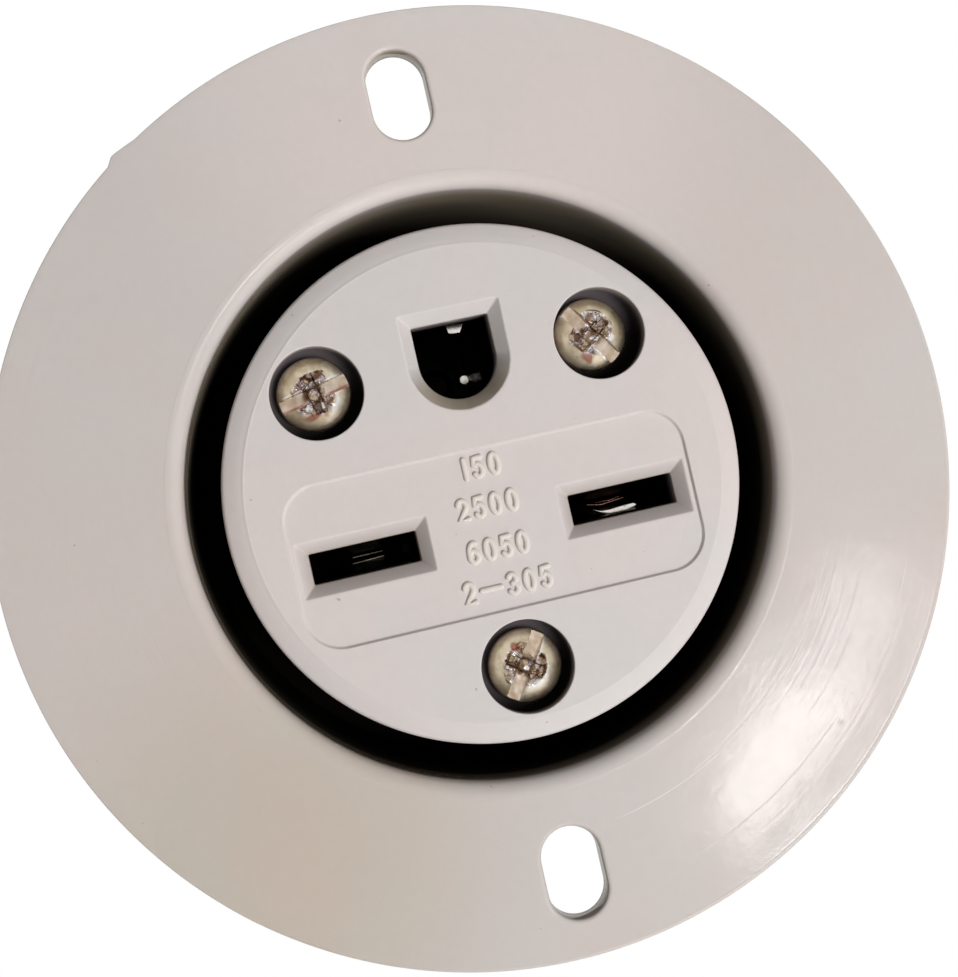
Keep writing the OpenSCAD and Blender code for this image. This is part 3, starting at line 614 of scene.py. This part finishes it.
def rough_field(u, v, seed, scale, waves=40):
    """Uneven height over a surface, about -1 to 1: many plane waves with seeded directions."""
    dice = np.random.default_rng(seed)
    turn, length, phase = dice.uniform(0, 6.28, waves), dice.uniform(0.5, 2.0, waves) * scale, dice.uniform(0, 6.28, waves)
    total = sum(np.sin((u * np.cos(t) + v * np.sin(t)) * k + f) for t, k, f in zip(turn, length, phase))
    return total / np.sqrt(waves)


def step(x, low, high):
    """0 below low, 1 above high, smooth between."""
    t = np.clip((x - low) / (high - low), 0, 1)
    return t * t * (3 - 2 * t)


def chips(u, v, seed, count=120, width=1.9):
    """Chipped metal: the middle is split into cells round seeded points, each cell tilted its own way.
    Gives the height, a tone for each cell from 0 to 1, and the closeness to a cell's edge."""
    dice = np.random.default_rng(seed)
    seeds = dice.uniform(-width, width, (count, 2))
    tilt, lift, tone = dice.normal(0, 0.30, (count, 2)), dice.normal(0, 0.035, count), dice.uniform(0, 1, count)
    off = np.stack([u[..., None] - seeds[:, 0], v[..., None] - seeds[:, 1]], -1)
    far = off[..., 0] ** 2 + off[..., 1] ** 2
    near = np.sort(far, axis=-1)
    weight = np.exp(-(far - near[..., :1]) * 90)
    weight /= weight.sum(-1, keepdims=True)
    high = (weight * (lift + (off * tilt).sum(-1))).sum(-1)
    return high, (weight * tone).sum(-1), np.exp(-(np.sqrt(near[..., 1]) - np.sqrt(near[..., 0])) / 0.05)


def screw_top(u, v, seed):
    """Height of the head at (u, v), and how far each point lies in the struck middle and in the slot."""
    r = np.hypot(u, v)
    dome = head_high - 0.72 * (r / head_r) ** 2.6
    middle = 1 - step(r + 0.12 * rough_field(u, v, seed + 1, 2.2), 1.38, 1.62)
    chewed = 1.15 + 0.03 * rough_field(u, v, seed, 3.5) + chips(u, v, seed)[0]
    top = dome * (1 - middle) + chewed * middle
    ragged = 0.03 * rough_field(u, v, seed + 2, 5)
    slot = 1 - step(np.abs(v) + ragged * middle, 0.44, 0.50)
    cross = (1 - step(np.abs(u) + ragged, 0.34, 0.46)) * (1 - step(np.abs(v), 1.15, 1.5))
    floor_high = 0.70 + 0.008 * rough_field(u, v, seed + 3, 6)
    top = top * (1 - slot) + np.minimum(top, floor_high) * slot
    top -= 0.34 * cross * (1 - 0.75 * slot) + 0.28 * (1 - step(r, 0.25, 0.8))
    burr = np.exp(-((np.abs(v) - 0.55) / 0.07) ** 2) * step(rough_field(u, v, seed + 5, 3), 0.0, 0.8) * middle
    return top + 0.05 * burr, middle, slot


long_screws = []
for name, place in screw_places.items():
    seed = {"left": 31, "right": 47, "bottom": 83}[name]
    turn = np.linspace(0, 2 * np.pi, 360, endpoint=False)
    r = np.concatenate([np.linspace(0.004, head_r - 0.12, 110), head_r - 0.12 + 0.12 * np.sin(np.linspace(0.2, 1.57, 6))])
    u, v = r[:, None] * np.cos(turn), r[:, None] * np.sin(turn)
    top, middle, slot = screw_top(u, v, seed)
    drop = np.zeros(len(r))
    drop[-6:] = 0.12 * (1 - np.cos(np.linspace(0.2, 1.57, 6)))
    a = np.radians(slot_turns[name])
    head = np.stack([place[0] + u * np.cos(a) - v * np.sin(a), place[1] + u * np.sin(a) + v * np.cos(a),
                     head_seat + top - drop[:, None]], axis=2)
    below = turned([[head_r, head_seat + 0.12], [head_r - 0.1, head_seat], [1.25, head_seat], [1.25, -8.0], [1.45, -18.0],
                    [1.45, shank_end + 0.3], [1.15, shank_end], [0.01, shank_end]], turn + a, place)
    aside = np.array([1, 1, 0.6, 0.4, 0, 0, 0, 0])[:, None, None] * head_shifts[name]
    rows = np.concatenate([head, below])
    rows[:, :, :2] += np.concatenate([np.ones((len(r), 1, 1)) * head_shifts[name], aside])
    wide, high = (0.6, 1.5) if name == "left" else (1, 1)
    spot = np.hypot(wide * (head[:, :, 0] - place[0] - paint_spots[name][0]),
                    high * (head[:, :, 1] - place[1] - paint_spots[name][1]))
    paint = step(np.exp(-(spot / 0.42) ** 2) + 0.22 * rough_field(u, v, seed + 9, 5), 0.30, 0.75) * (1 - slot)
    _, tone, seam = chips(u, v, seed)
    # Painted highlight: a white crescent on the dome, on the side towards the lower right, and a broken white line
    # along one edge of the slot.
    ring_r, ring_at = (1.72, -22) if name == "left" else (1.46, -42)
    toward = np.cos(np.arctan2(v, u) + a - np.radians(ring_at)) + 0.5 * rough_field(u, v, seed + 4, 3)
    painted_glint = np.exp(-((np.hypot(u, v) - ring_r) / 0.22) ** 2) * step(toward, 0.50, 0.85) * (1 - slot)
    lip_side = 1 if name == "left" else -1
    outer = step(np.abs(u), 0.7, 1.1)
    painted_glint = np.maximum(painted_glint, np.exp(-((v - 0.55 * lip_side) / 0.09) ** 2) * outer * step(rough_field(u, v, seed + 6, 4), -0.6, 0.2))
    # On the left screw a red-brown line also runs along the slot's other edge.
    paint = np.maximum(paint, 0.9 * np.exp(-((v + 0.36 * lip_side) / 0.09) ** 2) * outer * (name == "left"))
    middle = middle * (1 - 0.85 * slot * step(np.hypot(u, v), 0.65, 1.0))
    parts = (middle, slot, paint, tone, seam * middle, painted_glint)
    worn, cut, paint, tone, seam, painted_glint = (np.concatenate([part, np.zeros(below.shape[:2])]) for part in parts)
    m, n = rows.shape[:2]
    i, j = np.meshgrid(np.arange(m - 1), np.arange(n), indexing="ij")
    k = (j + 1) % n
    quads = np.stack([i * n + j, (i + 1) * n + j, (i + 1) * n + k, i * n + k], axis=-1).reshape(-1, 4)
    caps = [list(range(n)), list(range(m * n - 1, (m - 1) * n - 1, -1))]
    screw_mesh = bpy.data.meshes.new("screw_" + name)
    screw_mesh.from_pydata((rows.reshape(-1, 3)[:, [0, 2, 1]] * [0.001, -0.001, 0.001]).tolist(), [],
                           quads.tolist() + caps)
    screw_mesh.polygons.foreach_set("use_smooth", np.ones(len(screw_mesh.polygons), bool))
    screw_mesh.set_sharp_from_angle(angle=np.radians(50))
    for key, value in (("worn", worn), ("cut", cut), ("paint", paint), ("tone", tone), ("seam", seam), ("painted_glint", painted_glint)):
        screw_mesh.attributes.new(key, "FLOAT", "POINT").data.foreach_set("value", value.ravel().astype(np.float32))
    screw = bpy.data.objects.new("screw_" + name, screw_mesh)
    bpy.context.scene.collection.objects.link(screw)
    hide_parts("assembly_screw_" + name)
    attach(screw, "root")
    long_screws.append(screw)

plated_steel = bpy.data.materials.new("plated_steel")
plated_steel.use_nodes = True
tree = plated_steel.node_tree
shader = tree.nodes["Principled BSDF"]
shader.inputs["Metallic"].default_value = 1.0
worn = put(tree, "ShaderNodeAttribute", attribute_name="worn").outputs["Fac"]
cut = put(tree, "ShaderNodeAttribute", attribute_name="cut").outputs["Fac"]
tone, seam, painted_glint = (put(tree, "ShaderNodeAttribute", attribute_name=key).outputs["Fac"]
                      for key in ("tone", "seam", "painted_glint"))
tint = band(tree, mottle(tree, 1400, 3.0, seed=0.4), 0.35, 0.65)
fleck = band(tree, mottle(tree, 5200, 2.0, seed=0.7), 0.42, 0.60)
plating = mix(tree, tint, (0.66, 0.56, 0.40, 1), (0.86, 0.77, 0.60, 1))
# The chipped middle's cells take dark brown, pinkish or near-white steel by their tone: partly the metal's own chips
# and stains, partly painted reflection of dark surroundings and a bright window.
steel = mix(tree, band(tree, tone, 0.10, 0.30), (0.16, 0.09, 0.05, 1), (0.60, 0.47, 0.34, 1))
steel = mix(tree, band(tree, tone, 0.40, 0.60), steel, (0.62, 0.52, 0.54, 1))
steel = mix(tree, band(tree, tone, 0.74, 0.86), steel, (0.98, 0.96, 0.96, 1))
steel = mix(tree, sums(tree, "MULTIPLY", fleck, 0.55), steel, (0.22, 0.14, 0.10, 1))
steel = mix(tree, sums(tree, "MULTIPLY", band(tree, seam, 0.45, 0.85), 0.75), steel, (0.07, 0.04, 0.02, 1))
groove = mix(tree, tint, (0.54, 0.42, 0.31, 1), (0.74, 0.64, 0.54, 1))
colour = mix(tree, worn, mix(tree, cut, plating, groove), steel)
# Painted highlight: painted_glint turns the colour near white.
colour = mix(tree, painted_glint, colour, (1.0, 0.99, 0.98, 1))
paint = put(tree, "ShaderNodeAttribute", attribute_name="paint").outputs["Fac"]
colour = mix(tree, sums(tree, "MULTIPLY", paint, 0.65), colour, (0.40, 0.07, 0.03, 1))
tree.links.new(colour, shader.inputs["Base Color"])
rough = mix(tree, worn, (0.27, 0.27, 0.27, 1), (0.12, 0.12, 0.12, 1))
rough = sums(tree, "MULTIPLY_ADD", mottle(tree, 5000, 2.0), 0.20, rough)
tree.links.new(sums(tree, "MULTIPLY_ADD", paint, 0.3, rough), shader.inputs["Roughness"])
bump = put(tree, "ShaderNodeBump", {"Strength": 0.3, "Distance": 0.00002, "Height": mottle(tree, 5000, 2.0)})
tree.links.new(bump.outputs[0], shader.inputs["Normal"])
for screw in long_screws:
    screw.data.materials.append(plated_steel)


# ---- Contacts and their rivets
# The leaves that grip the plug are folded from spring strip, and each base is riveted to its terminal
# plate. They show as thin bright lines in the openings. Leaves and rivets are painted black past a set depth
# behind the front, as painted shade inside the chambers.

def rolled_metal(name, pale, dark, roughness, strokes=(1, 1, 1), painted_shade_depths=None, towards_axis=False):
    """Rolled or turned metal: two tints in clouds, a fine drawn grain and a few dull spots. painted_shade_depths gives
    two depths behind the panel's front, in metres, between which it turns black as painted shade, or two distances
    from the axis."""
    material = bpy.data.materials.new(name)
    material.use_nodes = True
    tree = material.node_tree
    shader = tree.nodes["Principled BSDF"]
    shader.inputs["Metallic"].default_value = 1.0
    clouds = band(tree, mottle(tree, 260, 3.0, seed=0.15), 0.32, 0.68)
    lines = mottle(tree, 2600, 2.0, strokes, seed=0.35)
    dull = band(tree, mottle(tree, 700, 2.0, seed=0.8), 0.60, 0.72)
    colour = mix(tree, clouds, pale, dark)
    colour = mix(tree, sums(tree, "MULTIPLY", dull, 0.45), colour, tuple(0.35 * c for c in dark[:3]) + (1,))
    # Painted shade: past the given depth, or nearer the axis, the metal is painted black for the shade inside the
    # chambers.
    if painted_shade_depths:
        split = put(tree, "ShaderNodeSeparateXYZ", {0: put(tree, "ShaderNodeTexCoord").outputs["Object"]})
        reach = sums(tree, "SQRT", sums(tree, "ADD", sums(tree, "POWER", split.outputs[0], 2.0),
                                        sums(tree, "POWER", split.outputs[2], 2.0)))
        black = band(tree, reach if towards_axis else split.outputs[1], *painted_shade_depths)
        colour = mix(tree, black, colour, (0.006, 0.005, 0.004, 1))
    tree.links.new(colour, shader.inputs["Base Color"])
    rough = sums(tree, "MULTIPLY_ADD", lines, 0.18, roughness - 0.09)
    tree.links.new(sums(tree, "MULTIPLY_ADD", dull, 0.22, rough), shader.inputs["Roughness"])
    bump = put(tree, "ShaderNodeBump", {"Strength": 0.35, "Distance": 0.00002, "Height": lines})
    tree.links.new(bump.outputs[0], shader.inputs["Normal"])
    return material


def finish_node(names, material, edge, whole_flats=False):
    """Gives CAD nodes their material and breaks their sharp edges. whole_flats first makes each flat one face."""
    for node_name in names:
        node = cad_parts[node_name]
        if not node.material_slots:
            node.data.materials.append(material)
        for held in node.material_slots:
            held.material = material
        if edge:
            weld = node.modifiers.new("joined_facets", "WELD")
            weld.merge_threshold = 1e-6
            if whole_flats:
                flats = node.modifiers.new("whole_flats", "DECIMATE")
                flats.decimate_type = "DISSOLVE"
                flats.angle_limit = np.radians(0.5)
            broken = node.modifiers.new("broken_edges", "BEVEL")
            broken.width = edge
            broken.segments = 2
            broken.limit_method = "ANGLE"
            broken.angle_limit = np.radians(40)
            broken.harden_normals = True


spring_bronze = rolled_metal("spring_bronze", (0.78, 0.55, 0.30, 1), (0.62, 0.42, 0.22, 1), 0.30, (0.2, 1, 1),
                             (0.0012, 0.0018))
finish_node(["line_contact_left", "line_contact_right", "ground_contact"], spring_bronze, 0.00008)
rivet_brass = rolled_metal("rivet_brass", (0.66, 0.47, 0.22, 1), (0.50, 0.35, 0.15, 1), 0.34, painted_shade_depths=(0.0, 0.010))
finish_node(["contact_rivet_left", "contact_rivet_right", "contact_rivet_ground"], rivet_brass, 0.00012)


# ---- Bright lips of the contacts
# The plug has rubbed the leaves' rolled lips bright; the rest of the strip is painted black, as painted shade.
# Each lip is a small dished patch that faces the opening, set on its leaf. One more closes the ground contact's rivet.

def dished(upper, lower, levels, dome, points=24, across=7):
    """Grid between two curves given by a few points each. Its level runs from the first to the last of the
    levels along it, and rises by dome in the middle."""
    s, t = np.linspace(0, 1, points), np.linspace(0, 1, across)
    curves = [np.column_stack([np.interp(s, np.linspace(0, 1, len(c)), c[:, k]) for k in (0, 1)])
              for c in (np.array(upper), np.array(lower))]
    flat = curves[0][:, None] * (1 - t[None, :, None]) + curves[1][:, None] * t[None, :, None]
    level = np.interp(s, [0, 1], levels)[:, None] + dome * (1 - (2 * t - 1) ** 2) + 0 * flat[:, :, 0]
    return np.dstack([flat, level])


def lip(name, rows, material):
    """One dished patch as an object on the root."""
    m, n = rows.shape[:2]
    i, j = np.meshgrid(np.arange(m - 1), np.arange(n - 1), indexing="ij")
    quads = np.stack([i * n + j, (i + 1) * n + j, (i + 1) * n + j + 1, i * n + j + 1], axis=-1).reshape(-1, 4)
    mesh = bpy.data.meshes.new(name)
    mesh.from_pydata((rows.reshape(-1, 3)[:, [0, 2, 1]] * [0.001, -0.001, 0.001]).tolist(), [], quads.tolist())
    skin = bmesh.new()
    skin.from_mesh(mesh)
    bmesh.ops.remove_doubles(skin, verts=skin.verts, dist=4e-7)
    skin.to_mesh(mesh)
    skin.free()
    mesh.polygons.foreach_set("use_smooth", np.ones(len(mesh.polygons), bool))
    if sum(face.normal.y for face in mesh.polygons) > 0:
        mesh.flip_normals()
    piece = bpy.data.objects.new(name, mesh)
    bpy.context.scene.collection.objects.link(piece)
    mesh.materials.append(material)
    thick = piece.modifiers.new("strip_thickness", "SOLIDIFY")
    thick.thickness = 0.00004
    thick.offset = -1
    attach(piece, "root")


rubbed_bronze = rolled_metal("rubbed_bronze", (0.99, 0.97, 0.94, 1), (0.97, 0.93, 0.86, 1), 0.20)
dull_bronze = rolled_metal("dull_bronze", (0.52, 0.46, 0.38, 1), (0.40, 0.34, 0.27, 1), 0.26)
copper_bronze = rolled_metal("copper_bronze", (0.62, 0.33, 0.25, 1), (0.44, 0.20, 0.14, 1), 0.26)
lip("lip_right_low", dished([(7.57, -3.60), (8.1, -3.80), (8.7, -3.83), (9.3, -3.76), (10.0, -3.72), (10.55, -3.74), (10.74, -3.92)],
                            [(7.57, -3.66), (8.1, -4.02), (8.7, -4.30), (9.3, -4.42), (10.0, -4.40), (10.55, -4.20), (10.74, -3.98)],
                            (-2.7, -2.7), 0.03), rubbed_bronze)
lip("lip_right_high_a", dished([(7.45, -3.17), (8.5, -3.36), (10.35, -3.22)], [(7.45, -3.25), (8.5, -3.50), (10.35, -3.31)],
                               (-4.4, -4.4), 0.02), copper_bronze)
lip("lip_right_high_b", dished([(8.1, -3.18), (9.2, -3.19), (10.0, -3.10)], [(8.1, -3.21), (9.2, -3.28), (10.0, -3.15)],
                               (-4.4, -4.4), 0.02), copper_bronze)
lip("lip_left_high", dished([(-9.89, -3.12), (-8.8, -3.12), (-7.6, -3.12)], [(-9.89, -3.23), (-8.8, -3.22), (-7.6, -3.18)],
                            (-4.4, -4.4), 0.02), dull_bronze)
lip("lip_left_low", dished([(-9.98, -3.56), (-8.8, -3.50), (-7.6, -3.46)], [(-9.98, -3.66), (-8.8, -3.64), (-7.6, -3.58)],
                           (-4.4, -4.4), 0.02), dull_bronze)
lip("ground_tab", dished([(0.02, 11.55), (0.70, 11.55), (1.38, 11.45)], [(0.14, 10.80), (0.55, 10.73), (0.94, 10.73)],
                         (-2.1, -2.1), 0.02), rubbed_bronze)
turn = np.linspace(0, 2 * np.pi, 48, endpoint=False)
button = turned([[0.0001, -18.0], [0.3, -18.0], [0.48, -18.01], [0.54, -18.05]], np.append(turn, 0.0), (2.28, 8.66))
button[:, :, 2] += 0.1115 * (button[:, :, 0] - 2.28) + 0.0808 * (button[:, :, 1] - 8.66)
lip("ground_button", button, rubbed_bronze)


# ---- Terminal plates and wire clamps
# Stamped brass: an angle that carries the contact, and a flat clamp that the screw draws onto the wire. Within
# about 14 mm of the axis, behind the openings, they are painted black as painted shade.

brass_sheet = rolled_metal("brass_sheet", (0.72, 0.52, 0.22, 1), (0.58, 0.40, 0.16, 1), 0.28, (1, 0.15, 1),
                           (0.0150, 0.0138), towards_axis=True)
finish_node(["terminal_plate_left", "terminal_plate_right", "terminal_plate_ground",
             "wire_clamp_left", "wire_clamp_right", "wire_clamp_ground"], brass_sheet, 0.00010)


# ---- Terminal screws
# Turned brass for the two lines, and green-coated steel for ground, each in the window of its bay.

brass_screw = rolled_metal("brass_screw", (0.74, 0.54, 0.24, 1), (0.60, 0.42, 0.17, 1), 0.24)
finish_node(["terminal_screw_left", "terminal_screw_right"], brass_screw, 0.00010)
green_screw = rolled_metal("green_screw", (0.10, 0.30, 0.13, 1), (0.05, 0.19, 0.08, 1), 0.36)
green_screw.node_tree.nodes["Principled BSDF"].inputs["Metallic"].default_value = 0.6
finish_node(["terminal_screw_ground"], green_screw, 0.00010)


# ---- Contact carrier and rear cover
# Two mouldings of black phenolic behind the panel: the carrier with the three terminal bays, and the flat
# cover with the wire holes.

carrier_black = bpy.data.materials.new("carrier_black")
carrier_black.use_nodes = True
tree = carrier_black.node_tree
shader = tree.nodes["Principled BSDF"]
clouds = mottle(tree, 120, 3.0, seed=0.25)
fine = mottle(tree, 2400, 3.0, seed=0.55)
colour = mix(tree, band(tree, clouds, 0.35, 0.65), (0.022, 0.021, 0.021, 1), (0.040, 0.037, 0.035, 1))
dust = band(tree, mottle(tree, 900, 2.0, seed=0.95), 0.64, 0.74)
colour = mix(tree, sums(tree, "MULTIPLY", dust, 0.25), colour, (0.16, 0.14, 0.12, 1))
tree.links.new(colour, shader.inputs["Base Color"])
tree.links.new(sums(tree, "MULTIPLY_ADD", fine, 0.2, 0.36), shader.inputs["Roughness"])
bump = put(tree, "ShaderNodeBump", {"Strength": 0.4, "Distance": 0.00005, "Height": fine})
tree.links.new(bump.outputs[0], shader.inputs["Normal"])
finish_node(["contact_carrier", "rear_cover"], carrier_black, 0.0002, whole_flats=True)


# ---- Nuts
# Three turned brass hex nuts lie in their seats in the rear cover, and take the long screws.

nut_brass = rolled_metal("nut_brass", (0.70, 0.50, 0.22, 1), (0.54, 0.38, 0.16, 1), 0.26, (1, 0.2, 1))
finish_node(["assembly_nut_left", "assembly_nut_right", "assembly_nut_bottom"], nut_brass, 0.00012)


# ---- Colour view, and the end

bpy.context.scene.view_settings.view_transform = "Standard"
